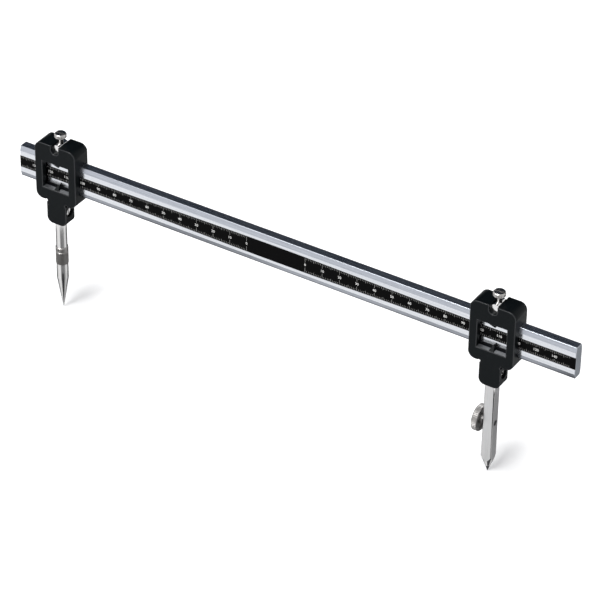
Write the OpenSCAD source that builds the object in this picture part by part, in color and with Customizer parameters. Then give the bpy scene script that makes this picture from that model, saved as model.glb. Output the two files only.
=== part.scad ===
// Beam compass: a scaled beam that carries two sliding heads,
// one with a needle leg and one with a pencil lead leg.
// The needle tip is the origin, X runs along the beam, Z is up.

/* [Beam] */
// Length of the beam
beam_len = 325; // [296:1:600]
// Needle from the left end of the beam
needle_at = 25; // [13:0.5:50]
// Radius that the compass is set to, from the needle to the lead
radius_set = 256.5; // [40:0.5:285]
// Height of the beam
beam_h = 18; // [16:0.5:22]
// Thickness of the beam
beam_t = 6; // [5:0.25:8]
// Height of the sloping band along each edge of the beam
bevel_h = 2.8; // [2:0.1:3.6]
// Depth of that sloping band
bevel_d = 0.65; // [0.4:0.05:1.2]

/* [Scale band] */
// Height of the black band at the ends of the beam
band_end_h = 6.8; // [5:0.1:7.5]
// How much taller the band is at the middle of the scale
band_swell = 2.6; // [0.2:0.1:3.2]
// Distance from the middle of the scale to where that swelling ends
band_spread = 120; // [60:1:135]
// Thickness of the band
band_t = 0.4; // [0.2:0.05:0.8]
// Middle of the scale from the left end of the beam
scale_at = 156.35; // [145:0.05:160]

/* [Heads] */
// Width of a head along the beam
head_w = 25; // [22:0.5:32]
// Head above the beam's top edge
head_above = 10; // [9:0.25:14]
// Head below the beam's bottom edge
head_below = 5.9; // [5:0.1:9]
// Wall in front of the beam
front_wall = 4.05; // [3.2:0.05:5]
// Wall behind the beam
back_wall = 1.5; // [1:0.1:3]
// Corner radius of a head
head_r = 4; // [2:0.25:5]
// Radius of the notches where the socket block meets the head
notch_r = 0.8; // [0.4:0.1:1.2]
// Play between the beam and the channel in a head
slide_gap = 0.05; // [0.03:0.01:0.1]
// Width of the reading window
window_w = 16.2; // [12:0.2:17]
// Height of the reading window
window_h = 15.8; // [12:0.2:16.4]
// Middle of the window above the middle of the beam
window_rise = 0.3; // [0:0.05:0.4]
// Width of the relief behind the window, which keeps the head off the scale
relief_w = 20; // [18:0.2:21]
// Height of that relief
relief_h = 17.2; // [16.6:0.1:17.6]
// Depth of that relief
relief_d = 1; // [0.5:0.1:1.5]
// Width of the upper pointer at its root
pointer_top_w = 5; // [2:0.1:7]
// Length of the upper pointer
pointer_top_l = 3.5; // [1.5:0.1:4.6]
// Width of the lower pointer at its root
pointer_low_w = 2.8; // [1.5:0.1:4]
// Length of the lower pointer
pointer_low_l = 2.6; // [1:0.1:3]
// Roots of the pointers behind the front face
pointer_set = 0.4; // [0.2:0.1:1]

/* [Leg socket] */
// Width of the socket block under a head
lug_w = 12; // [10.5:0.25:16]
// Depth of the socket block, front to back
lug_d = 7.6; // [7:0.1:10]
// Length of the socket block below the head
lug_len = 13.4; // [12:0.1:20]
// Corner radius at the foot of the block
lug_r = 3.5; // [0.5:0.1:4]
// Diameter of the bore for a leg
socket_d = 4.6; // [4:0.1:5]
// Depth of that bore
socket_len = 11.3; // [9:0.1:12]
// Play between parts that turn or slide in each other
run_gap = 0.05; // [0.02:0.01:0.08]
// Play round the clamp screw in the head
hole_gap = 0.15; // [0.1:0.05:0.4]
// Play between faces that stop against each other
seat_gap = 0.04; // [0.02:0.01:0.1]

/* [Clamp] */
// Diameter of the cross nut
nut_d = 4.8; // [4.6:0.1:6]
// Width of the open slot over the cross nut
nut_slot_w = 4.5; // [3.8:0.1:4.5]
// Depth of the cross nut's end face inside the front of the head
nut_recess = 2; // [1:0.05:3.4]
// Diameter of the clamp screw's thread
screw_d = 3; // [2.5:0.1:3.4]
// Diameter of the knurled head of the clamp screw
knob_d = 6.4; // [5.5:0.1:9]
// Height of that knurled head
knob_h = 2.4; // [1.8:0.1:5]
// Room between the knurled head and the top of the head
knob_lift = 3.2; // [0.4:0.1:4]
// Width of the screwdriver slots
slot_w = 0.8; // [0.5:0.05:1]
// Depth of the screwdriver slots
slot_d = 0.7; // [0.4:0.05:1]
// Bevel on the rims of the knurled head
knob_bevel = 0.4; // [0.2:0.05:0.6]
// Depth of the knurling on the head, the collar and the wheel
knurl_d = 0.25; // [0.15:0.05:0.4]
// Diameter of the pressure shoe
shoe_d = 4; // [3.6:0.1:4.4]
// Height of the pressure shoe
shoe_h = 2.2; // [1.8:0.1:2.4]
// How far the shoe lifts off the beam when the clamp is undone
shoe_lift = 1; // [0.5:0.1:1]

/* [Leg screw] */
// Height of the leg screw above the foot of the socket block
set_up = 7.9; // [5:0.1:9]
// Diameter of the leg screw
set_d = 3.5; // [2.5:0.1:3.6]
// Outer diameter of the threaded insert around it
insert_d = 4.8; // [4.4:0.1:5.2]
// Diameter of the recess over the insert
recess_d = 5.6; // [5.3:0.1:6]
// Depth of that recess
recess_len = 1.2; // [0.5:0.1:1.6]

/* [Needle leg] */
// Diameter of the plain shank
shank_d = 6; // [5.6:0.1:7]
// Length of the plain shank below the socket block
shank_len = 15; // [8:0.1:30]
// Diameter of the slit end of the shank, inside the collar
collet_d = 5; // [4.4:0.1:5.2]
// Diameter of the collar
collar_d = 6.8; // [6.4:0.1:9]
// Height of the collar's polished ring
ring_h = 2.9; // [2:0.1:5]
// How far the groove between the ring and the band goes in
groove_d = 0.4; // [0.2:0.05:0.6]
// Height of the collar's knurled band
knurl_h = 7.6; // [5:0.1:14]
// Thickness of the collar's lip, under the collet
collar_lip = 1.2; // [0.8:0.1:2]
// Width of the slits in the collet
slit_w = 0.5; // [0.3:0.05:0.8]
// Diameter of the tommy bar hole in the collar's ring
tommy_d = 1.1; // [0.8:0.1:1.6]
// Bevel on the edges of the collar and the wheel
edge_bevel = 0.3; // [0.1:0.05:0.4]
// Diameter of the steel point's body
point_d = 6.3; // [5:0.1:6.6]
// Height of the point's plain body
point_body_h = 9.1; // [4:0.1:16]
// Height of the point's cone
point_cone_h = 19.1; // [10:0.1:26]
// Diameter of the point's tang
tang_d = 3; // [2:0.1:3.2]

/* [Lead leg] */
// Width of the square bar
bar_w = 5.6; // [5:0.1:7]
// Height of the turned nose, up to the corners of the bar
nose_h = 10.4; // [8:0.1:14]
// Diameter of the lead
lead_d = 2; // [1.6:0.1:2.2]
// Length of lead that shows below the nose
lead_out = 3.4; // [3.2:0.05:5]
// Length of the lead
lead_len = 40; // [36:0.5:46]
// Height of the clamp wheel's axis above the tip
wheel_up = 30.5; // [20:0.1:36]
// Diameter of the clamp wheel
wheel_d = 13.8; // [10:0.1:18]
// Thickness of the clamp wheel
wheel_t = 3.1; // [2:0.1:5]
// Width of the rim round the wheel's dished side
wheel_rim = 1.5; // [1:0.1:2.5]
// Depth of the dish in the wheel
dish_d = 0.8; // [0.3:0.1:1.5]
// Wheel beyond the end of its stud
stud_cap = 0.8; // [0.5:0.1:1.5]
// Diameter of the clamp wheel's hub
hub_d = 6; // [4.5:0.1:8]
// Length of the hub
hub_len = 1.1; // [0.8:0.1:3]
// Room between the hub and the bar when the lead is clamped
hub_gap = 0.3; // [0.2:0.05:0.6]
// Diameter of the wheel's threaded stud
stud_d = 3; // [2.4:0.1:3.4]
// Thickness of the plug between the stud and the lead
plug_t = 0.9; // [0.6:0.05:1.2]

/* [Hidden] */
$fn = 64;
// extra length of a cut past the face it opens, and of a form inside the one it grows from
over = 1;

// heights above the tips
point_h = point_body_h + point_cone_h;
collar_h = ring_h + knurl_h;
lug_z = point_h + collar_h + shank_len;
head_z = lug_z + lug_len;
beam_z = head_z + head_below + beam_h / 2;
head_top_z = beam_z + beam_h / 2 + head_above;
set_z = lug_z + set_up;
nut_z = head_top_z - nut_d / 2;
socket_top_z = lug_z + socket_len;

// depths, with the legs on Y = 0
front_y = -lug_d / 2;
beam_y = front_y + front_wall + slide_gap;
back_y = beam_y + beam_t + slide_gap + back_wall;
head_d = back_y - front_y;
clamp_y = (front_y + back_y) / 2;

// places along the beam
beam_x0 = -needle_at;
beam_x1 = beam_len - needle_at;
scale_x = scale_at - needle_at;

// leg and clamp fits
spigot_d = socket_d - 2 * run_gap;
end_room = 0.3;
spigot_len = socket_len - end_room;
shoe_z = beam_z + beam_h / 2 + seat_gap;
shoe_room = shoe_h + shoe_lift + end_room;
screw_neck = 0.5;
screw_tip_d = screw_d - 2 * screw_neck;
screw_tip_in = 0.6;
nut_len = head_d - 2 * nut_recess;
insert_wall = 0.4;
tang_in = 1.5;
lead_travel = 2.5;
insert_len = lug_w / 2 - recess_len - socket_d / 2 - insert_wall;
set_proud = 0.2;
nose_slope = bar_w / sqrt(2) / nose_h;
plug_x = -lead_d / 2 - seat_gap - plug_t;
wheel_x = -bar_w / 2 - hub_gap - hub_len;

steel = [0.72, 0.73, 0.74];
bright_steel = [0.82, 0.83, 0.84];
silver = [0.80, 0.82, 0.85];
black = [0.12, 0.13, 0.14];
band_black = [0.05, 0.05, 0.05];
brass = [0.78, 0.62, 0.30];
graphite = [0.22, 0.22, 0.24];

// ---------- shared shapes ----------

// section of the beam, grown by g on every side
module beam_section(g = 0) {
    z2 = beam_h / 2 + g;
    z1 = z2 - bevel_h;
    y0 = -g;
    y1 = beam_t + g;
    polygon([[y0, -z1], [y0 + bevel_d, -z2], [y1 - bevel_d, -z2], [y1, -z1],
        [y1, z1], [y1 - bevel_d, z2], [y0 + bevel_d, z2], [y0, z1]]);
}

// the beam's section drawn out along X from x0 over a length
module beam_run(x0, length, g = 0)
    translate([x0, beam_y, beam_z]) rotate([90, 0, 90])
        linear_extrude(length) beam_section(g);

// half height of the scale band at a distance x from the scale's middle, up to band_spread
function band_half(x) = band_end_h / 2 + band_swell / 4 * (1 + cos(180 * x / band_spread));

// outline of the scale band, tall in the middle and straight towards the ends
module band_outline() {
    steps = 12;
    dx = band_spread / steps;
    half = band_end_h / 2;
    top = [for (i = [-steps:steps]) [i * dx, band_half(i * dx)]];
    low = [for (i = [steps:-1:-steps]) [i * dx, -band_half(i * dx)]];
    left = [[beam_x0 - scale_x, -half], [beam_x0 - scale_x, half]];
    right = [[beam_x1 - scale_x, half], [beam_x1 - scale_x, -half]];
    polygon(concat(left, top, right, low));
}

// an outline in X and Z, drawn out from y0 to y1
module front_plate(y0, y1)
    translate([0, y1, 0]) rotate([90, 0, 0]) linear_extrude(y1 - y0) children();

// a rectangle from x0, z0 with round corners
module round_rect(x0, z0, w, h, r) {
    translate([x0 + r, z0]) square([w - 2 * r, h]);
    translate([x0, z0 + r]) square([w, h - 2 * r]);
    for (x = [x0 + r, x0 + w - r], z = [z0 + r, z0 + h - r])
        translate([x, z]) circle(r);
}

// V grooves all round a cylinder of diameter d that stands on Z = 0
module knurl_cuts(d, h, count, depth)
    for (i = [0:count - 1])
        rotate(i * 360 / count) translate([d / 2, 0, h / 2]) rotate(45)
            cube([depth * sqrt(2), depth * sqrt(2), h + 2 * over], center = true);

// a cylinder with both rims bevelled
module bevelled_disc(d, h, bevel) {
    cylinder(h = bevel, d1 = d - 2 * bevel, d2 = d);
    translate([0, 0, bevel]) cylinder(h = h - 2 * bevel, d = d);
    translate([0, 0, h - bevel]) cylinder(h = bevel, d1 = d, d2 = d - 2 * bevel);
}

// ---------- beam ----------

module beam()
    color(silver) difference() {
        beam_run(beam_x0, beam_len);
        translate([scale_x, 0, beam_z]) front_plate(beam_y - over, beam_y + band_t) band_outline();
    }

module scale_band()
    color(band_black) translate([scale_x, 0, beam_z])
        front_plate(beam_y, beam_y + band_t) band_outline();

// ---------- heads ----------

// body, socket block and the small notches where they meet
module head_outline() {
    difference() {
        union() {
            round_rect(-head_w / 2, head_z, head_w, head_top_z - head_z, head_r);
            round_rect(-lug_w / 2, lug_z, lug_w, lug_len + head_below, lug_r);
        }
        for (side = [-1, 1])
            translate([side * (lug_w / 2 + notch_r / 4), head_z - notch_r / 2]) circle(notch_r);
    }
}

// the body is as deep as the head, the socket block only as deep as lug_d
module head_block()
    difference() {
        front_plate(front_y, back_y) head_outline();
        translate([-head_w, front_y + lug_d, lug_z - over])
            cube([2 * head_w, head_d, lug_len + over]);
    }

// one pointer: a triangle of width w and length l that swells towards the beam, on a foot in the wall
module pointer(w, l, up) {
    root = up > 0 ? window_z0() : window_z1();
    y1 = beam_y - relief_d;
    y0 = front_y + pointer_set;
    foot = root - up * over;
    intersection() {
        front_plate(y0, y1)
            polygon([[-w / 2, foot], [w / 2, foot], [w / 2, root], [0, root + up * l], [-w / 2, root]]);
        rotate([90, 0, 90]) translate([0, 0, -w]) linear_extrude(2 * w)
            polygon([[y0, foot], [y1, foot], [y1, root + up * l], [y0, root]]);
    }
}

function window_z0() = beam_z + window_rise - window_h / 2;
function window_z1() = beam_z + window_rise + window_h / 2;

module head()
    color(black) {
        difference() {
            head_block();
            // channel for the beam
            beam_run(-head_w, 2 * head_w, slide_gap);
            // reading window and the relief behind it
            translate([-window_w / 2, front_y - over, window_z0()])
                cube([window_w, front_wall + 2 * over, window_h]);
            translate([-relief_w / 2, beam_y - relief_d, beam_z - relief_h / 2])
                cube([relief_w, relief_d + over, relief_h]);
            // seat and slot of the cross nut
            translate([0, back_y + over, nut_z]) rotate([90, 0, 0])
                cylinder(h = head_d + 2 * over, d = nut_d);
            translate([-nut_slot_w / 2, front_y - over, nut_z])
                cube([nut_slot_w, head_d + 2 * over, nut_d]);
            // screw hole and the room for the shoe
            translate([0, clamp_y, beam_z]) cylinder(h = nut_z - beam_z, d = screw_d + 2 * hole_gap);
            translate([0, clamp_y, beam_z])
                cylinder(h = beam_h / 2 + seat_gap + shoe_room, d = shoe_d + 2 * run_gap);
            // leg bore, leg screw hole and its recess
            translate([0, 0, lug_z - over]) cylinder(h = socket_len + over, d = socket_d);
            translate([0, 0, set_z]) rotate([0, 90, 0])
                cylinder(h = lug_w / 2 - recess_len - insert_len, d = set_d + 2 * run_gap);
            translate([lug_w / 2 - recess_len - insert_len, 0, set_z]) rotate([0, 90, 0])
                cylinder(h = insert_len + recess_len, d = insert_d);
            translate([lug_w / 2 - recess_len, 0, set_z]) rotate([0, 90, 0])
                cylinder(h = recess_len + over, d = recess_d);
        }
        pointer(pointer_top_w, pointer_top_l, -1);
        pointer(pointer_low_w, pointer_low_l, 1);
    }

// ---------- clamp ----------

// short bar across the head, with the thread for the clamp screw
module cross_nut()
    color(bright_steel) difference() {
        translate([0, clamp_y + nut_len / 2, nut_z]) rotate([90, 0, 0])
            cylinder(h = nut_len, d = nut_d);
        translate([0, clamp_y, nut_z - nut_d])
            cylinder(h = 2 * nut_d, d = screw_d + 2 * run_gap);
    }

module clamp_screw() {
    tip_z = shoe_z + shoe_h - screw_tip_in + seat_gap;
    stem_z = shoe_z + shoe_h + seat_gap;
    knob_z = head_top_z + knob_lift;
    color(steel) translate([0, clamp_y, 0]) difference() {
        union() {
            translate([0, 0, tip_z]) cylinder(h = screw_tip_in + over, d = screw_tip_d);
            translate([0, 0, stem_z]) cylinder(h = knob_z - stem_z + over, d = screw_d);
            translate([0, 0, knob_z]) difference() {
                bevelled_disc(knob_d, knob_h, knob_bevel);
                knurl_cuts(knob_d, knob_h, 30, knurl_d);
            }
        }
        translate([-knob_d, -slot_w / 2, knob_z + knob_h - slot_d])
            cube([2 * knob_d, slot_w, slot_d + over]);
    }
}

// brass pad that the screw presses on the beam
module shoe()
    color(brass) translate([0, clamp_y, shoe_z]) difference() {
        cylinder(h = shoe_h, d = shoe_d);
        translate([0, 0, shoe_h - screw_tip_in])
            cylinder(h = screw_tip_in + over, d = screw_tip_d + 2 * run_gap);
    }

// ---------- leg screw ----------

module insert()
    color(brass) translate([lug_w / 2 - recess_len - insert_len, 0, set_z])
        rotate([0, 90, 0]) difference() {
            cylinder(h = insert_len, d = insert_d);
            translate([0, 0, -over])
                cylinder(h = insert_len + 2 * over, d = set_d + 2 * run_gap);
        }

module leg_screw() {
    x0 = spigot_d / 2 + seat_gap;
    x1 = lug_w / 2 - recess_len + set_proud;
    color(steel) difference() {
        translate([x0, 0, set_z]) rotate([0, 90, 0]) cylinder(h = x1 - x0, d = set_d);
        translate([x1 - slot_d, -slot_w / 2, set_z - set_d])
            cube([slot_d + over, slot_w, 2 * set_d]);
    }
}

// ---------- needle leg ----------

module needle_shank() {
    shank_z = point_h + collar_h;
    collet_z = point_h + collar_lip + 2 * seat_gap;
    color(steel) difference() {
        union() {
            translate([0, 0, shank_z]) cylinder(h = shank_len - seat_gap, d = shank_d);
            translate([0, 0, lug_z - over]) cylinder(h = spigot_len + over, d = spigot_d);
            translate([0, 0, collet_z]) cylinder(h = shank_z - collet_z + over, d = collet_d);
        }
        // bore for the tang
        translate([0, 0, point_h]) cylinder(h = collar_h + tang_in + end_room, d = tang_d + 2 * run_gap);
        // two crossing slits make the end a collet
        for (a = [0, 90])
            rotate(a) translate([-collet_d, -slit_w / 2, point_h])
                cube([2 * collet_d, slit_w, knurl_h]);
    }
}

// collar nut: polished ring above, knurled band below
module needle_collar() {
    collar_z = point_h + seat_gap;
    height = collar_h - 2 * seat_gap;
    color(steel) translate([0, 0, collar_z]) difference() {
        union() {
            difference() {
                bevelled_disc(collar_d, knurl_h - edge_bevel, edge_bevel);
                knurl_cuts(collar_d, knurl_h, 36, knurl_d);
            }
            cylinder(h = height, d = collar_d - 2 * groove_d);
            translate([0, 0, knurl_h]) bevelled_disc(collar_d, height - knurl_h, edge_bevel);
        }
        translate([0, 0, -over]) cylinder(h = height, d = tang_d + 4 * run_gap);
        translate([0, 0, collar_lip]) cylinder(h = height, d = collet_d + 2 * run_gap);
        // hole for a tommy bar
        translate([0, 0, knurl_h + ring_h / 2]) rotate([90, 0, 0])
            cylinder(h = collar_d, d = tommy_d);
    }
}

module needle_point() {
    tang_len = collar_h + tang_in;
    color(bright_steel) {
        cylinder(h = point_cone_h, d1 = 0.1, d2 = point_d);
        translate([0, 0, point_cone_h]) cylinder(h = point_body_h - seat_gap, d = point_d);
        translate([0, 0, point_cone_h]) cylinder(h = point_body_h + tang_len, d = tang_d);
    }
}

// ---------- lead leg ----------

// square bar with a turned nose, as a pencil is sharpened
module lead_holder()
    color(steel) difference() {
        union() {
            intersection() {
                translate([-bar_w / 2, -bar_w / 2, lead_out])
                    cube([bar_w, bar_w, lug_z - seat_gap - lead_out]);
                union() {
                    cylinder(h = nose_h, d1 = 0, d2 = 2 * nose_h * nose_slope);
                    translate([0, 0, nose_h]) cylinder(h = lug_z, d = 2 * bar_w);
                }
            }
            translate([0, 0, lug_z - over]) cylinder(h = spigot_len + over, d = spigot_d);
        }
        // lead bore
        cylinder(h = lead_len + lead_travel + end_room, d = lead_d + 2 * run_gap);
        // cross hole, threaded on the wheel's side
        translate([-bar_w, 0, wheel_up]) rotate([0, 90, 0])
            cylinder(h = 2 * bar_w, d = stud_d + 2 * run_gap);
    }

module lead() {
    cone_h = lead_d / 2 / nose_slope;
    color(graphite) {
        cylinder(h = cone_h, d1 = 0.2, d2 = lead_d);
        translate([0, 0, cone_h]) cylinder(h = lead_len - cone_h, d = lead_d);
    }
}

module press_plug()
    color(brass) translate([plug_x, 0, wheel_up]) rotate([0, 90, 0])
        cylinder(h = plug_t, d = stud_d);

// knurled wheel, dished on the side that faces the bar
module clamp_wheel()
    color(steel) translate([wheel_x, 0, wheel_up]) rotate([0, -90, 0]) difference() {
        union() {
            difference() {
                bevelled_disc(wheel_d, wheel_t, edge_bevel);
                knurl_cuts(wheel_d, wheel_t, 48, knurl_d);
                translate([0, 0, -over]) difference() {
                    cylinder(h = over + dish_d, d = wheel_d - 2 * wheel_rim);
                    cylinder(h = over + dish_d, d = hub_d);
                }
            }
            translate([0, 0, -hub_len]) cylinder(h = hub_len + over, d = hub_d);
        }
        translate([0, 0, -hub_len - over])
            cylinder(h = hub_len + over + wheel_t - stud_cap, d = stud_d);
    }

module wheel_stud()
    color(bright_steel) translate([plug_x - seat_gap, 0, wheel_up]) rotate([0, -90, 0])
        cylinder(h = plug_x - seat_gap - wheel_x + wheel_t - stud_cap, d = stud_d);

// ---------- the compass ----------

beam();
scale_band();
head();  // left_head
translate([radius_set, 0, 0]) head();  // right_head
cross_nut();  // left_cross_nut
translate([radius_set, 0, 0]) cross_nut();  // right_cross_nut
clamp_screw();  // left_clamp_screw
translate([radius_set, 0, 0]) clamp_screw();  // right_clamp_screw
shoe();  // left_shoe
translate([radius_set, 0, 0]) shoe();  // right_shoe
insert();  // left_insert
translate([radius_set, 0, 0]) insert();  // right_insert
leg_screw();  // left_leg_screw
translate([radius_set, 0, 0]) leg_screw();  // right_leg_screw
needle_shank();
needle_collar();
needle_point();
translate([radius_set, 0, 0]) lead_holder();
translate([radius_set, 0, 0]) lead();
translate([radius_set, 0, 0]) press_plug();
translate([radius_set, 0, 0]) clamp_wheel();
translate([radius_set, 0, 0]) wheel_stud();
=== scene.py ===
import math

import bmesh
import bpy
from mathutils import Matrix, Vector


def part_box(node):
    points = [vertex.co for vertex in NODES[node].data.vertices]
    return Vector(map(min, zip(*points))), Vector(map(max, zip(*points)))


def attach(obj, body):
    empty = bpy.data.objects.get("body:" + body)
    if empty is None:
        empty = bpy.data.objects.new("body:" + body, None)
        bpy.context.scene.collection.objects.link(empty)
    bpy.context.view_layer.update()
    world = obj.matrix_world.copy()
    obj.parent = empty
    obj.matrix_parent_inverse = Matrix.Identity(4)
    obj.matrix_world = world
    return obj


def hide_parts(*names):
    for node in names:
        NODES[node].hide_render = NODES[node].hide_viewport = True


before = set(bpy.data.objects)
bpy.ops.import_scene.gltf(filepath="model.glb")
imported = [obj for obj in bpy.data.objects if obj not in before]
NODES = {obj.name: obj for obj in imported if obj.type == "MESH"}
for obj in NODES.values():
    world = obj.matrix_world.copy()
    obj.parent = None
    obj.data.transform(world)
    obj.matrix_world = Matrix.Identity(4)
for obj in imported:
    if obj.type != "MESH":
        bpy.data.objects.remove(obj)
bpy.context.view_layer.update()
MM = 0.001

# ---------- places on the part ----------

beam_low, beam_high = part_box("beam")
BEAM_FRONT = beam_low.y
BEAM_MID_Z = (beam_low.z + beam_high.z) / 2
SILL_Z, SILL_PLAY = 74.4 * MM, 0.3 * MM    # bottom of the reading windows
NOSE_TOP_Z = 14 * MM           # the turned nose of the lead holder is below this
FLAT_AREA = 15 * MM * MM       # larger faces are flats, smaller ones are parts of a curve
FACING = 0.9                   # a face looks along an axis if its normal has more of it
BEVEL_TILT = 0.1               # the beam's bevels lean up or down more than this
NOSE_TILT = 0.15               # the faces of the nose lean down more than this

# ---------- broken edges ----------

BEAM_BREAK, HEAD_BREAK, BAR_BREAK = 0.22 * MM, 0.36 * MM, 0.6 * MM
LONG_BEAM_EDGE = 200 * MM      # only edges that run along the beam are longer
UPRIGHT_EDGE = 8 * MM          # of the lead holder's sharp edges, only its corners rise more
SHORT_EDGE = 0.05 * MM         # scraps of an edge that aren't worth breaking
SAME_POINT, SAME_PLANE = 1e-6, 1e-5
SAME_FACE = math.radians(0.3)      # faces that meet at less than this are joined
SHARP_EDGE = math.radians(28)      # edges that turn more than this can be broken
SHADED_AS_ONE = math.radians(32)   # curved faces that meet at less than this

# ---------- the scale ----------

SCALE_MIDDLE = 131.35 * MM
SCALE_GAP = 17.2 * MM          # from the middle of the scale to each zero
# (direction, end of the beam, last number) of the two scales
SCALES = ((-1, beam_low.x, 130), (1, beam_high.x, 140))
BAND_END_HALF = 3.4 * MM       # half height of the band near the ends of the beam
BAND_SWELL = 1.3 * MM          # how much higher the band is in the middle
BAND_SPREAD = 120 * MM         # how far from the middle it swells
PRINT_T = 0.02 * MM            # how far the print stands in front of the beam, and goes in
SAME_PRINT_POINT = 1e-7
BOX_FACES = ((0, 1, 3, 2), (4, 6, 7, 5), (0, 4, 5, 1),
             (2, 3, 7, 6), (0, 2, 6, 4), (1, 5, 7, 3))
NUMBER_SIZE = 2.05 * MM
MARKS_PAST_LAST = 8            # millimetre marks after the last number, where there is room
END_ROOM_MM = 0.6              # left free between the last mark and the end of the beam
MARK_INSET = 0.45 * MM         # from the edge of the band to the marks
# (width, foot or length) of the marks: at a number the foot is a height over the middle
TEN_WIDTH, TEN_FOOT = 0.11 * MM, 1.5 * MM
FIVE_WIDTH, FIVE_LENGTH = 0.12 * MM, 1.4 * MM
ONE_WIDTH, ONE_LENGTH = 0.10 * MM, 0.9 * MM

# ---------- the studio ----------

YAW, PITCH, ROLL = (math.radians(a) for a in (31.665, 35.039, 0.941))
CAMERA_PLACE = (0.85226, -1.14482, 1.00335)
CAMERA_LENS, CAMERA_SENSOR = 198, 36       # in millimetres
CAMERA_SEES = (0.1, 20)

WHITE = (1, 1, 1, 1)
MIDDLE_X = 0.1313
MIDDLE = Vector((MIDDLE_X, 0, 0.08))       # what the lamp and the screen stand round
SCREEN_SIDE, SCREEN_DISTANCE = Vector((-0.42, 0.68, 0.60)).normalized(), 0.9
SCREEN_HALF_WIDTH, SCREEN_HALF_HEIGHT = 0.85, 0.52
SCREEN_TONE = (0.028, 0.035, 0.047, 1)
SUN_AIM, SUN_STRENGTH, SUN_SPREAD = (0.13, 0.80, -0.95), 1.9, math.radians(24)
SOFTBOX_SIDE, SOFTBOX_DISTANCE = Vector((-0.46, -0.60, 0.655)), 0.95
SOFTBOX_SIZE, SOFTBOX_POWER = (0.50, 0.34), 1.9
DARK_SIDE = Vector((-0.36, 0.62, 0.70)).normalized()
ROOM_SHADES = ((0.12, (0.60, 0.60, 0.61)), (0.80, (0.08, 0.085, 0.10)))    # towards DARK_SIDE

TABLE_HALF_X, TABLE_HALF_Y = 0.75, 0.70
TABLE_DROP = 0.0002            # keeps the table clear of the tips
TABLE_WHITE = (0.80, 0.80, 0.80, 1)
# painted reflection: the black that the legs' steel shows of the table
PAINTED_REFLECTION_BLACK = (0.013, 0.013, 0.016, 1)
TABLE_ROUGHNESS, TABLE_GLOSS = 0.85, 0.2
OWN_LIGHT = 0.68               # what the table gives of itself, where 1 is white
OWN_LIGHT_AT_TIPS = 0.31
OWN_LIGHT_IN_METAL = 0.42      # share of that for rays by way of metal or glass
TIP_SHADE_BACK = 0.008         # the middle of a tip's shadow is this far behind it
TIP_SHADE_RANGE = (0.005, 0.036)

# painted reflections for the legs: the table shows black to reflected rays this short, near the
# tips
STEEP_RAY = 0.094              # the legs' own reflections reach the table within this length
PAINTED_STRIPE_REACH = 0.092            # and within this distance of the tip
# Painted reflections: how black the table is painted in the steel of a leg, which paints its
# dark stripes: the tip's x, the distance from the tip at which one list gives way to the other,
# and the two lists of (degrees round the tip from the camera's side, black), first the near one.
TIPS_AND_PAINTED_STRIPES = (
    (0.0, 0.037,
     ((-180, 0.85), (-106, 0.8), (-86, 0.16), (-32, 0.06), (-14, 0.98),
      (26, 0.98), (52, 0.5), (84, 0.2), (100, 0.8), (180, 0.85)),
     ((-180, 0.8), (-108, 0.76), (-88, 0.14), (-36, 0.06), (-16, 0.82),
      (44, 0.74), (66, 0.12), (90, 0.2), (104, 0.78), (180, 0.8))),
    (0.2565, 0.031,
     ((-180, 0.75), (-116, 0.7), (-98, 0.14), (-36, 0.06), (-18, 0.95),
      (46, 0.92), (64, 0.2), (92, 0.2), (108, 0.62), (180, 0.62)),
     ((-180, 0.7), (-116, 0.6), (-96, 0.12), (-38, 0.03), (-20, 0.98),
      (62, 0.98), (76, 0.45), (92, 0.5), (106, 0.68), (180, 0.7))),
)


# ---------- small tools for shader trees ----------

def feed(tree, socket, value):
    """Link a socket to another, or give it a plain value."""
    if isinstance(value, bpy.types.NodeSocket):
        tree.links.new(value, socket)
    else:
        socket.default_value = value


def math_node(tree, operation, a, b=0.0, clamp=False):
    node = tree.nodes.new("ShaderNodeMath")
    node.operation = operation
    node.use_clamp = clamp
    feed(tree, node.inputs[0], a)
    feed(tree, node.inputs[1], b)
    return node.outputs[0]


def vector_node(tree, operation, a, b=None):
    node = tree.nodes.new("ShaderNodeVectorMath")
    node.operation = operation
    feed(tree, node.inputs[0], a)
    if b is not None:
        feed(tree, node.inputs[1], b)
    is_number = operation in ("DISTANCE", "DOT_PRODUCT", "LENGTH")
    return node.outputs["Value" if is_number else "Vector"]


def axes_of(tree, vector):
    node = tree.nodes.new("ShaderNodeSeparateXYZ")
    tree.links.new(vector, node.inputs[0])
    return node.outputs


def coordinates(tree, kind="Object"):
    return tree.nodes.new("ShaderNodeTexCoord").outputs[kind]


def map_range(tree, value, given, wanted, smooth=False):
    node = tree.nodes.new("ShaderNodeMapRange")
    if smooth:
        node.interpolation_type = "SMOOTHSTEP"
    for label, number in zip(("From Min", "From Max", "To Min", "To Max"), (*given, *wanted)):
        node.inputs[label].default_value = number
    tree.links.new(value, node.inputs["Value"])
    return node.outputs["Result"]


def ramp_node(tree, value, stops):
    """A colour ramp with stops of (position, colour)."""
    node = tree.nodes.new("ShaderNodeValToRGB")
    tree.links.new(value, node.inputs["Fac"])
    elements = node.color_ramp.elements
    while len(elements) < len(stops):
        elements.new(0.5)
    for element, (position, colour) in zip(elements, stops):
        element.position = position
        element.color = (*colour, 1)
    return node.outputs["Color"]


def mix_colour(tree, factor, a, b):
    node = tree.nodes.new("ShaderNodeMix")
    node.data_type = "RGBA"
    tree.links.new(factor, node.inputs["Factor"])
    feed(tree, node.inputs["A"], a)
    feed(tree, node.inputs["B"], b)
    return node.outputs["Result"]


def noise_node(tree, vector, scale, detail, roughness):
    node = tree.nodes.new("ShaderNodeTexNoise")
    node.inputs["Detail"].default_value = detail
    node.inputs["Roughness"].default_value = roughness
    feed(tree, node.inputs["Scale"], scale)
    tree.links.new(vector, node.inputs["Vector"])
    return node.outputs["Fac"]


def link_object(name, data):
    obj = bpy.data.objects.new(name, data)
    bpy.context.scene.collection.objects.link(obj)
    return obj


# ---------- camera, floor and light ----------

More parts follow.
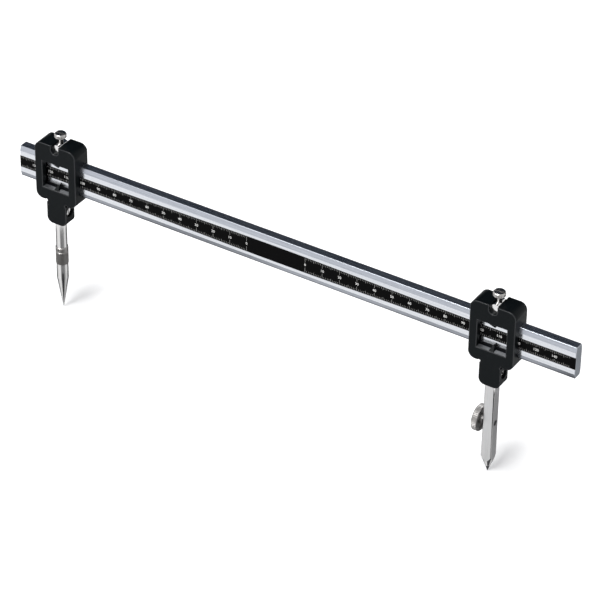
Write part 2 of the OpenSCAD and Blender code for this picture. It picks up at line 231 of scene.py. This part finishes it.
def make_camera():
    data = bpy.data.cameras.new("camera")
    data.sensor_width = CAMERA_SENSOR
    data.lens = CAMERA_LENS
    data.clip_start, data.clip_end = CAMERA_SEES
    camera = link_object("camera", data)
    back = Vector((math.sin(YAW) * math.cos(PITCH), -math.cos(YAW) * math.cos(PITCH),
                   math.sin(PITCH)))
    level = Vector((math.cos(YAW), math.sin(YAW), 0))
    upright = back.cross(level)
    right = math.cos(ROLL) * level + math.sin(ROLL) * upright
    up = math.cos(ROLL) * upright - math.sin(ROLL) * level
    place = Matrix.Identity(4)
    for row in range(3):
        place[row][0], place[row][1], place[row][2] = right[row], up[row], back[row]
    place.translation = CAMERA_PLACE
    camera.matrix_world = place
    bpy.context.scene.camera = camera


def flat_panel(name, points):
    mesh = bpy.data.meshes.new(name)
    mesh.from_pydata(points, [], [(0, 1, 2, 3)])
    material = bpy.data.materials.new(name)
    material.use_nodes = True
    mesh.materials.append(material)
    return link_object(name, mesh), material.node_tree


def seen_white(tree, by_way_of=1.0):
    """1 for rays from the camera, and by_way_of for those that come by way of metal or glass."""
    ray = tree.nodes.new("ShaderNodeLightPath").outputs
    through = math_node(tree, "ADD", ray["Is Glossy Ray"], ray["Is Transmission Ray"], clamp=True)
    share = math_node(tree, "MULTIPLY", through, by_way_of)
    return math_node(tree, "ADD", share, ray["Is Camera Ray"], clamp=True)


def turn_ramp(tree, share, marks):
    """A value along a turn of 360 degrees, with the camera's side at its middle."""
    return ramp_node(tree, share, [(0.5 + degrees / 360, (black,) * 3) for degrees, black in marks])


def black_in_steel(tree, place):
    """Painted reflections: black patches in the table round the tips, seen only by short
    reflected rays, which paint the stripes of the polished legs. They are laid out for the
    camera's view, and from other sides the stripes lie elsewhere. Longer reflected rays, such as
    those from the beam, meet a white table."""
    total = 0.0
    for x, change, near_marks, far_marks in TIPS_AND_PAINTED_STRIPES:
        offset = vector_node(tree, "SUBTRACT", place, (x - MIDDLE_X, 0, 0))
        reach = vector_node(tree, "LENGTH", offset)
        axes = axes_of(tree, offset)
        turn = math_node(tree, "ARCTAN2", axes["Y"], axes["X"])
        # measured from the side away from the camera, so that the seam is out of sight
        from_seam = math_node(tree, "SUBTRACT", turn, YAW + math.pi / 2)
        turns = math_node(tree, "DIVIDE", from_seam, 2 * math.pi)
        share = math_node(tree, "FRACT", math_node(tree, "ADD", turns, 1.0))
        near = math_node(tree, "LESS_THAN", reach, change)
        black = mix_colour(tree, near, turn_ramp(tree, share, far_marks),
                           turn_ramp(tree, share, near_marks))
        inside = math_node(tree, "LESS_THAN", reach, PAINTED_STRIPE_REACH)
        total = math_node(tree, "ADD", math_node(tree, "MULTIPLY", black, inside), total)
    ray = tree.nodes.new("ShaderNodeLightPath").outputs
    short = math_node(tree, "LESS_THAN", ray["Ray Length"], STEEP_RAY)
    from_legs = math_node(tree, "MULTIPLY", ray["Is Glossy Ray"], short)
    return math_node(tree, "MULTIPLY", total, from_legs, clamp=True)


def make_floor():
    """A white table. Part of its light is its own for the rays that see it, and less of it round
    the two tips, so that they keep a soft shadow while the rest stays white."""
    x, y = TABLE_HALF_X, TABLE_HALF_Y
    floor, tree = flat_panel("white_table", [(-x, -y, 0), (x, -y, 0), (x, y, 0), (-x, y, 0)])
    floor.location = (MIDDLE_X, 0, -TABLE_DROP)
    shader = tree.nodes["Principled BSDF"].inputs
    shader["Roughness"].default_value = TABLE_ROUGHNESS
    shader["Specular IOR Level"].default_value = TABLE_GLOSS
    shader["Emission Color"].default_value = WHITE
    place = coordinates(tree)
    left, right = (vector_node(tree, "DISTANCE", place, (leg[0] - MIDDLE_X, TIP_SHADE_BACK, 0))
                   for leg in TIPS_AND_PAINTED_STRIPES)
    nearest = math_node(tree, "MINIMUM", left, right)
    spread = map_range(tree, nearest, TIP_SHADE_RANGE, (OWN_LIGHT_AT_TIPS, OWN_LIGHT), smooth=True)
    own = math_node(tree, "MULTIPLY", seen_white(tree, OWN_LIGHT_IN_METAL), spread)
    # painted reflections: black in the table for short reflected rays, which paints the legs'
    # stripes
    black = black_in_steel(tree, place)
    outside_painted_stripes = math_node(tree, "SUBTRACT", 1.0, black)
    feed(tree, shader["Emission Strength"], math_node(tree, "MULTIPLY", own, outside_painted_stripes))
    feed(tree, shader["Base Color"], mix_colour(tree, black, TABLE_WHITE, PAINTED_REFLECTION_BLACK))


def make_dark_screen():
    """A dark screen high up behind, out of the picture, that only metal and gloss show: it
    darkens the top faces and the screw heads."""
    level = SCREEN_SIDE.cross(Vector((0, 0, 1))).normalized()
    across = SCREEN_HALF_WIDTH * level
    upward = SCREEN_HALF_HEIGHT * level.cross(SCREEN_SIDE)
    centre = MIDDLE + SCREEN_DISTANCE * SCREEN_SIDE
    screen, tree = flat_panel("dark_screen", [centre - across - upward, centre + across - upward,
                                              centre + across + upward, centre - across + upward])
    screen.visible_camera = screen.visible_diffuse = False
    screen.visible_shadow = screen.visible_transmission = False
    tree.nodes.clear()
    out = tree.nodes.new("ShaderNodeOutputMaterial")
    cloth = tree.nodes.new("ShaderNodeEmission")
    cloth.inputs["Color"].default_value = SCREEN_TONE
    tree.links.new(cloth.outputs[0], out.inputs["Surface"])


def hang_lamp(name, data, aim, place=(0, 0, 0)):
    lamp = link_object(name, data)
    lamp.location = place
    lamp.rotation_mode = "QUATERNION"
    lamp.rotation_quaternion = Vector(aim).to_track_quat("-Z", "Y")


def make_lights():
    sun = bpy.data.lights.new("window_light", "SUN")
    sun.energy = SUN_STRENGTH
    sun.angle = SUN_SPREAD
    hang_lamp("window_light", sun, SUN_AIM)
    box = bpy.data.lights.new("front_softbox", "AREA")
    box.shape = "RECTANGLE"
    box.size, box.size_y = SOFTBOX_SIZE
    box.energy = SOFTBOX_POWER
    hang_lamp("front_softbox", box, -SOFTBOX_SIDE, MIDDLE + SOFTBOX_DISTANCE * SOFTBOX_SIDE)


def make_world():
    """White to the camera and by way of metal and glass. The room that lights the object is pale
    grey, and darker high up behind."""
    world = bpy.data.worlds.new("studio")
    bpy.context.scene.world = world
    world.use_nodes = True
    tree = world.node_tree
    tree.nodes.clear()
    out = tree.nodes.new("ShaderNodeOutputWorld")
    room = tree.nodes.new("ShaderNodeBackground")
    white = tree.nodes.new("ShaderNodeBackground")
    mix = tree.nodes.new("ShaderNodeMixShader")
    aim = vector_node(tree, "DOT_PRODUCT", coordinates(tree, "Generated"), DARK_SIDE)
    feed(tree, room.inputs["Color"], ramp_node(tree, aim, ROOM_SHADES))
    feed(tree, white.inputs["Color"], WHITE)
    feed(tree, mix.inputs["Fac"], seen_white(tree))
    feed(tree, mix.inputs[1], room.outputs[0])
    feed(tree, mix.inputs[2], white.outputs[0])
    feed(tree, out.inputs["Surface"], mix.outputs[0])


# ---------- shared finish effects ----------

FINE_SHARE, BROAD_SHARE = 0.6, 0.4     # of the drawn lines
EDGE_GAIN = 6.0                # how soon a turned edge counts as an edge
PATCH_LEVEL, PATCH_GAIN = 0.38, 3.0    # where the noise leaves an edge unworn, and how abruptly


def group(name, inputs, outputs):
    """A shader node group with inputs {name: (kind, default)} and number outputs."""
    tree = bpy.data.node_groups.new(name, "ShaderNodeTree")
    for label, (kind, value) in inputs.items():
        socket = tree.interface.new_socket(label, in_out="INPUT", socket_type="NodeSocket" + kind)
        socket.default_value = value
    for label in outputs:
        tree.interface.new_socket(label, in_out="OUTPUT", socket_type="NodeSocketFloat")
    given, put = tree.nodes.new("NodeGroupInput"), tree.nodes.new("NodeGroupOutput")
    return tree, given.outputs, put.inputs


def make_drawn_lines():
    """Fine lines left by drawing or grinding, long one way and narrow the others."""
    tree, given, put = group(
        "drawn_lines", {"Stretch": ("Vector", (1, 1, 1)), "Contrast": ("Float", 1.0)},
        ("Shade", "Height"))
    scaled = vector_node(tree, "MULTIPLY", coordinates(tree), given["Stretch"])
    fine = noise_node(tree, scaled, scale=1.0, detail=3.0, roughness=0.7)
    broad = noise_node(tree, scaled, scale=0.23, detail=2.0, roughness=0.5)
    both = math_node(tree, "ADD", math_node(tree, "MULTIPLY", fine, FINE_SHARE),
                     math_node(tree, "MULTIPLY", broad, BROAD_SHARE))
    centred = math_node(tree, "SUBTRACT", both, 0.5)
    strong = math_node(tree, "MULTIPLY", centred, given["Contrast"])
    feed(tree, put["Shade"], math_node(tree, "ADD", strong, 0.5, clamp=True))
    feed(tree, put["Height"], both)
    return tree


def make_fine_grain():
    """The fine pebble of a moulded or blasted surface, with a slower drift from handling."""
    tree, given, put = group(
        "fine_grain", {"Grain": ("Float", 4000.0), "Drift": ("Float", 60.0)},
        ("Height", "Drift"))
    place = coordinates(tree)
    grain = noise_node(tree, place, given["Grain"], detail=2.0, roughness=0.5)
    drift = noise_node(tree, place, given["Drift"], detail=5.0, roughness=0.6)
    feed(tree, put["Height"], grain)
    feed(tree, put["Drift"], drift)
    return tree


def make_edge_wear():
    """A mask of the edges, broken up where hands and the case have rubbed them. On the black
    mouldings it also places a painted highlight.
    """
    tree, given, put = group(
        "edge_wear_and_highlight", {"Radius": ("Float", 0.0004), "Amount": ("Float", 1.0)}, ("Mask",))
    geometry = tree.nodes.new("ShaderNodeNewGeometry")
    rounded = tree.nodes.new("ShaderNodeBevel")
    rounded.samples = 4
    feed(tree, rounded.inputs["Radius"], given["Radius"])
    level = vector_node(tree, "DOT_PRODUCT", geometry.outputs["Normal"], rounded.outputs["Normal"])
    turned = math_node(tree, "SUBTRACT", 1.0, level)
    edge = math_node(tree, "MULTIPLY", turned, EDGE_GAIN, clamp=True)
    patches = noise_node(tree, coordinates(tree), scale=420.0, detail=4.0, roughness=0.6)
    above = math_node(tree, "SUBTRACT", patches, PATCH_LEVEL)
    broken = math_node(tree, "MULTIPLY", above, PATCH_GAIN, clamp=True)
    worn_and_lit = math_node(tree, "MULTIPLY", edge, broken)
    feed(tree, put["Mask"], math_node(tree, "MULTIPLY", worn_and_lit, given["Amount"], clamp=True))
    return tree


DRAWN = make_drawn_lines()
GRAIN = make_fine_grain()
EDGE_WEAR_AND_HIGHLIGHT = make_edge_wear()

NOISE_SPREAD = (0.25, 0.75)    # where most of a noise's values lie
LINE_DEPTH, LINE_STRENGTH = 0.02 * MM, 0.25
GRAIN_STRENGTH = 0.35
HANDLING = 0.16                # how much the darker tone comes through in patches
SMEAR = 0.12                   # how much the roughness drifts with them


# ---------- finishes ----------

def place_group(tree, kind, **values):
    node = tree.nodes.new("ShaderNodeGroup")
    node.node_tree = kind
    for label, value in values.items():
        node.inputs[label].default_value = value
    return node.outputs


def new_finish(name, metallic, specular):
    material = bpy.data.materials.new(name)
    material.use_nodes = True
    shader = material.node_tree.nodes["Principled BSDF"].inputs
    shader["Metallic"].default_value = metallic
    shader["Specular IOR Level"].default_value = specular
    return material, material.node_tree, shader


def bump(tree, shader, height, strength, distance):
    node = tree.nodes.new("ShaderNodeBump")
    node.inputs["Strength"].default_value = strength
    node.inputs["Distance"].default_value = distance
    feed(tree, node.inputs["Height"], height)
    feed(tree, shader["Normal"], node.outputs["Normal"])


def metal_finish(name, dark, light, stretch, rough, contrast=1.0, metallic=1.0):
    """Metal with fine lines one way. The two colours are the ends of its shading, and rough is
    the range of its roughness."""
    material, tree, shader = new_finish(name, metallic, 0.5)
    lines = place_group(tree, DRAWN, Stretch=stretch, Contrast=contrast)
    drift = place_group(tree, GRAIN, Drift=45.0)["Drift"]
    tint = mix_colour(tree, lines["Shade"], (*dark, 1), (*light, 1))
    patches = math_node(tree, "MULTIPLY", drift, HANDLING)
    feed(tree, shader["Base Color"], mix_colour(tree, patches, tint, (*dark, 1)))
    smear = math_node(tree, "MULTIPLY", math_node(tree, "SUBTRACT", drift, 0.5), SMEAR)
    along_lines = map_range(tree, lines["Shade"], NOISE_SPREAD, rough)
    feed(tree, shader["Roughness"], math_node(tree, "ADD", along_lines, smear, clamp=True))
    bump(tree, shader, lines["Height"], LINE_STRENGTH, LINE_DEPTH)
    return material


def plastic_finish(name, base, worn_and_lit, rough, grain_scale, grain_depth, specular):
    """Plastic or print with a fine grain, its edges in the second colour: rubbed by use, and on
    the black mouldings lighter, as a painted highlight.
    """
    material, tree, shader = new_finish(name, 0.0, specular)
    grain = place_group(tree, GRAIN, Grain=grain_scale, Drift=70.0)
    wear_and_highlight = place_group(tree, EDGE_WEAR_AND_HIGHLIGHT, Radius=0.35 * MM, Amount=0.8)
    feed(tree, shader["Base Color"], mix_colour(tree, wear_and_highlight["Mask"], (*base, 1), (*worn_and_lit, 1)))
    feed(tree, shader["Roughness"], map_range(tree, grain["Drift"], NOISE_SPREAD, rough))
    bump(tree, shader, grain["Height"], GRAIN_STRENGTH, grain_depth)
    return material


def darken_foot(material, z_low, z_high, tone):
    """Painted shade: the lowest strip of a face is darker, up to a height between the two."""
    tree = material.node_tree
    shader = tree.nodes["Principled BSDF"].inputs
    colour = shader["Base Color"].links[0].from_socket
    strip = map_range(tree, axes_of(tree, coordinates(tree))["Z"], (z_low, z_high), (1.0, 0.0))
    feed(tree, shader["Base Color"], mix_colour(tree, strip, colour, (*tone, 1)))


# how the lines are stretched: per metre, small along the lines and large across them
ALONG_X = (90.0, 9000.0, 9000.0)
ALONG_Z = (9000.0, 9000.0, 120.0)
SAWN = (9000.0, 9000.0, 700.0)
ROUND_Z = (2200.0, 2200.0, 14000.0)
ROUND_X = (14000.0, 2200.0, 2200.0)
PRINT_GRAIN = (5200.0, 0.004 * MM)
MOULD_GRAIN = (3800.0, 0.02 * MM)
RUBBED_GRAIN = (3800.0, 0.01 * MM)

aluminium = metal_finish(
    "drawn_aluminium", (0.56, 0.58, 0.62), (0.86, 0.88, 0.91), ALONG_X, (0.14, 0.24), 1.7)
# painted shade: the lower bevels are a darker copy of the aluminium, darker still at the foot
low_bevel = metal_finish(
    "lower_bevel_painted_shade", (0.24, 0.255, 0.285), (0.46, 0.485, 0.53), ALONG_X, (0.26, 0.38), 1.9)
darken_foot(low_bevel, beam_low.z + 0.35 * MM, beam_low.z + 1.0 * MM, (0.045, 0.05, 0.06))
# painted shade: the upper bevels are a darker copy of the aluminium
upper_bevel_shade = metal_finish(
    "upper_bevels_painted_shade", (0.32, 0.34, 0.38), (0.56, 0.59, 0.65), ALONG_X, (0.24, 0.36), 1.7)
# the broken edges: a tone between the flats and the ends, which paints a shaded line along the long
# edges and a light rim round the ends
beam_rim = metal_finish(
    "beam_rim", (0.34, 0.36, 0.40), (0.60, 0.63, 0.68), ALONG_X, (0.24, 0.36), 1.4)
# painted shade: the top and bottom faces are a darker, bluer copy of the aluminium
dark_edge = metal_finish(
    "beam_edges", (0.40, 0.43, 0.50), (0.62, 0.66, 0.74), ALONG_X, (0.24, 0.34), 1.5)
# the ends are sawn; their dark tone is painted shade
sawn_end_painted_shade = metal_finish(
    "sawn_end_painted_shade", (0.12, 0.135, 0.155), (0.28, 0.305, 0.335), SAWN, (0.4, 0.55), metallic=0.9)
scale_black = plastic_finish(
    "printed_black", (0.0014, 0.0014, 0.0016), (0.02, 0.02, 0.02), (0.30, 0.42), *PRINT_GRAIN,
    0.03)
scale_white = plastic_finish(
    "printed_white", (0.90, 0.90, 0.88), (0.7, 0.7, 0.7), (0.5, 0.6), *PRINT_GRAIN, 0.2)
scale_grey = plastic_finish(
    "printed_thin_white", (0.46, 0.46, 0.45), (0.36, 0.36, 0.36), (0.5, 0.6), *PRINT_GRAIN, 0.2)
head_black = plastic_finish(
    "moulded_black", (0.0026, 0.0040, 0.0048), (0.03, 0.032, 0.036), (0.34, 0.46), *MOULD_GRAIN,
    0.085)
# painted highlight: the broken edges of the heads are a lighter black than the moulding
head_edge = plastic_finish(
    "moulded_black_edge", (0.010, 0.012, 0.014), (0.05, 0.054, 0.06), (0.20, 0.30),
    *RUBBED_GRAIN, 0.42)
# painted light: the window's sill is a lighter black than the moulding
sill_painted_light = plastic_finish(
    "black_sill_painted_light", (0.060, 0.062, 0.066), (0.11, 0.11, 0.12), (0.24, 0.36), *RUBBED_GRAIN, 0.5)
bright_steel = metal_finish(
    "bright_steel", (0.66, 0.65, 0.64), (0.86, 0.86, 0.86), ROUND_Z, (0.08, 0.16))
knurled_steel = metal_finish(
    "knurled_steel", (0.34, 0.33, 0.32), (0.62, 0.61, 0.60), ROUND_Z, (0.18, 0.30))
collar_steel = metal_finish(
    "collar_steel", (0.18, 0.175, 0.17), (0.44, 0.43, 0.42), ROUND_Z, (0.30, 0.42), 1.3)
wheel_steel = metal_finish(
    "wheel_steel", (0.20, 0.195, 0.19), (0.46, 0.45, 0.44), ROUND_X, (0.34, 0.46), 1.6)
satin_steel = metal_finish(
    "satin_steel", (0.50, 0.50, 0.50), (0.74, 0.74, 0.74), ALONG_Z, (0.26, 0.38), 1.5)
brass = metal_finish(
    "turned_brass", (0.50, 0.36, 0.14), (0.74, 0.58, 0.28), ROUND_Z, (0.2, 0.32))
nickel = metal_finish(
    "nickel_plate", (0.50, 0.48, 0.44), (0.78, 0.76, 0.72), ROUND_Z, (0.20, 0.32))
graphite = metal_finish(
    "graphite", (0.03, 0.03, 0.034), (0.08, 0.08, 0.09), ALONG_Z, (0.35, 0.5), metallic=0.3)


# ---------- meshes ----------

def dress(obj, *materials):
    slots = obj.data.materials
    for i, material in enumerate(materials):
        if i < len(slots):
            slots[i] = material
        else:
            slots.append(material)


def add_piece(shape, name, body, slot, *materials):
    """The finished shape as a piece that rides on a body."""
    mesh = bpy.data.meshes.new(name)
    shape.to_mesh(mesh)
    shape.free()
    obj = link_object(name, mesh)
    dress(obj, *materials)
    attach(obj, body)
    return obj


def softened(node, name, body, slot, width, materials, edge_material, choose, pick, segments=3):
    """The solid of a node with its long sharp edges broken, as a tool or a mould leaves them.

    choose gives the place of a face's finish in materials, pick says which edges are broken, and
    edge_material is what they show.
    """
    shape = bmesh.new()
    shape.from_mesh(NODES[node].data)
    bmesh.ops.remove_doubles(shape, verts=shape.verts, dist=SAME_POINT)
    bmesh.ops.dissolve_limit(shape, angle_limit=SAME_FACE, verts=shape.verts, edges=shape.edges)
    edge_slot = len(materials)
    for face in shape.faces:
        face.material_index = choose(face)
    sharp = [edge for edge in shape.edges if len(edge.link_faces) == 2
             and edge.calc_face_angle(0) > SHARP_EDGE and pick(edge)]
    bmesh.ops.bevel(shape, geom=sharp, offset=width, offset_type="OFFSET", segments=segments,
                    profile=0.5, affect="EDGES", clamp_overlap=False, material=edge_slot,
                    harden_normals=False, loop_slide=True, miter_outer="SHARP",
                    miter_inner="SHARP")
    obj = add_piece(shape, name, body, slot, *materials, edge_material)
    # the normals that came with the solid are those of its edges before they were broken
    mesh = obj.data
    if "custom_normal" in mesh.attributes:
        mesh.attributes.remove(mesh.attributes["custom_normal"])
    mesh.set_sharp_from_angle(angle=SHADED_AS_ONE)
    for face in mesh.polygons:
        face.use_smooth = face.material_index == edge_slot or face.area < FLAT_AREA
    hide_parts(node)


def band_half(x):
    """Half height of the black band at a distance x from the middle of the scale."""
    if abs(x) >= BAND_SPREAD:
        return BAND_END_HALF
    return BAND_END_HALF + BAND_SWELL / 2 * (1 + math.cos(math.pi * x / BAND_SPREAD))


def add_bar(shape, x0, x1, z0, z1):
    """A thin printed bar on the front of the band."""
    y0, y1 = BEAM_FRONT - PRINT_T, BEAM_FRONT + PRINT_T
    v = [shape.verts.new((x, y, z)) for x in (x0, x1) for y in (y0, y1) for z in (z0, z1)]
    for corners in BOX_FACES:
        shape.faces.new([v[i] for i in corners])


def make_marks():
    """Millimetre marks along both edges of the band, from each zero towards the end."""
    shape = bmesh.new()
    for side, end, last in SCALES:
        zero = SCALE_MIDDLE + side * SCALE_GAP
        room = int(abs(end - zero) / MM - END_ROOM_MM)
        for i in range(min(room, last + MARKS_PAST_LAST) + 1):
            x = zero + side * i * MM
            reach = band_half(x - SCALE_MIDDLE) - MARK_INSET
            if i % 10 == 0:
                width, foot = TEN_WIDTH, TEN_FOOT
            elif i % 5 == 0:
                width, foot = FIVE_WIDTH, reach - FIVE_LENGTH
            else:
                width, foot = ONE_WIDTH, reach - ONE_LENGTH
            for up in (-1, 1):
                z0, z1 = sorted((BEAM_MID_Z + up * foot, BEAM_MID_Z + up * reach))
                add_bar(shape, x - width / 2, x + width / 2, z0, z1)
    bmesh.ops.recalc_face_normals(shape, faces=shape.faces)
    add_piece(shape, "scale_marks", "beam_body", "scale_black", scale_grey)


def make_numbers():
    """The numbers of the two scales, one at each centimetre."""
    shape = bmesh.new()
    for side, _, last in SCALES:
        for value in range(0, last + 1, 10):
            curve = bpy.data.curves.new("number", "FONT")
            curve.body = str(value)
            curve.size = NUMBER_SIZE
            curve.extrude = PRINT_T
            curve.resolution_u = 3
            curve.align_x, curve.align_y = "CENTER", "CENTER"
            text = link_object("number", curve)
            x = SCALE_MIDDLE + side * (SCALE_GAP + value * MM)
            text.location = (x, BEAM_FRONT, BEAM_MID_Z)
            text.rotation_euler = (math.pi / 2, 0, 0)
            bpy.context.view_layer.update()
            flat = text.evaluated_get(bpy.context.evaluated_depsgraph_get())
            mesh = bpy.data.meshes.new_from_object(flat)
            mesh.transform(text.matrix_world)
            shape.from_mesh(mesh)
            bpy.data.objects.remove(text)
            bpy.data.curves.remove(curve)
            bpy.data.meshes.remove(mesh)
    bmesh.ops.remove_doubles(shape, verts=shape.verts, dist=SAME_PRINT_POINT)
    add_piece(shape, "scale_numbers", "beam_body", "scale_black", scale_white)


# ---------- finishes of faces, and edges to break ----------

# the finishes of the beam, in the order in which they are given to it
BEAM_FLAT, BEAM_BEVEL, BEAM_EDGE, BEAM_END, BEAM_LOW_BEVEL = range(5)
X, Y = range(2)                # axes


def beam_finish(face):
    """Drawn flats; bevels, top and bottom edges and sawn ends darker, as painted shade."""
    if abs(face.normal.x) > FACING:
        return BEAM_END
    if abs(face.normal.z) > FACING:
        return BEAM_EDGE
    if face.normal.z < -BEVEL_TILT:
        return BEAM_LOW_BEVEL
    return BEAM_BEVEL if face.normal.z > BEVEL_TILT else BEAM_FLAT


def head_finish(face):
    """Painted light: the sill of the window is a lighter black than the rest of the moulding."""
    at_sill = abs(face.calc_center_median().z - SILL_Z) < SILL_PLAY
    return 1 if face.normal.z > FACING and at_sill else 0


def leg_finish(face):
    """The bar is ground, its nose is turned and bright."""
    low_down = face.calc_center_median().z < NOSE_TOP_Z
    return 1 if face.normal.z < -NOSE_TILT and low_down else 0


def in_plane(edge, axis, places):
    """True for an edge that lies in one of the planes across an axis."""
    a, b = (v.co[axis] for v in edge.verts)
    return any(abs(a - place) < SAME_PLANE and abs(b - place) < SAME_PLANE for place in places)


def beam_edge(edge):
    """The rims of the sawn ends, and the four sharp edges between the bevels and the narrow
    sides."""
    return in_plane(edge, X, (beam_low.x, beam_high.x)) or edge.calc_length() > LONG_BEAM_EDGE


def rims_of(head):
    """A test for the edges in the front and the back plane of a head."""
    head_low, head_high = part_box(head)
    planes = (head_low.y, head_high.y)
    return lambda edge: edge.calc_length() >= SHORT_EDGE and in_plane(edge, Y, planes)


def bar_edge(edge):
    """The four upright edges of the square bar."""
    a, b = (v.co.z for v in edge.verts)
    return abs(a - b) > UPRIGHT_EDGE


# ---------- the compass ----------

make_camera()
make_floor()
make_dark_screen()
make_lights()
make_world()
bpy.context.scene.view_settings.view_transform = "Standard"

softened("beam", "beam_bar", "beam_body", "beam_aluminium", BEAM_BREAK,
         (aluminium, upper_bevel_shade, dark_edge, sawn_end_painted_shade, low_bevel), beam_rim, beam_finish, beam_edge)
for side in ("left", "right"):
    softened(f"{side}_head", f"{side}_slider_body", f"{side}_slider", "head_plastic", HEAD_BREAK,
             (head_black, sill_painted_light), head_edge, head_finish, rims_of(f"{side}_head"))
softened("lead_holder", "lead_leg_bar", "lead_leg", "satin_steel", BAR_BREAK,
         (satin_steel, bright_steel), bright_steel, leg_finish, bar_edge, segments=4)
make_marks()
make_numbers()

FINISHES = {
    scale_black: ("scale_band",),
    bright_steel: ("left_cross_nut", "right_cross_nut", "left_leg_screw", "right_leg_screw",
                   "needle_shank", "needle_point", "wheel_stud"),
    knurled_steel: ("left_clamp_screw", "right_clamp_screw"),
    collar_steel: ("needle_collar",),
    wheel_steel: ("clamp_wheel",),
    brass: ("left_shoe", "right_shoe", "press_plug"),
    nickel: ("left_insert", "right_insert"),
    graphite: ("lead",),
}
for material, nodes in FINISHES.items():
    for node in nodes:
        dress(NODES[node], material)
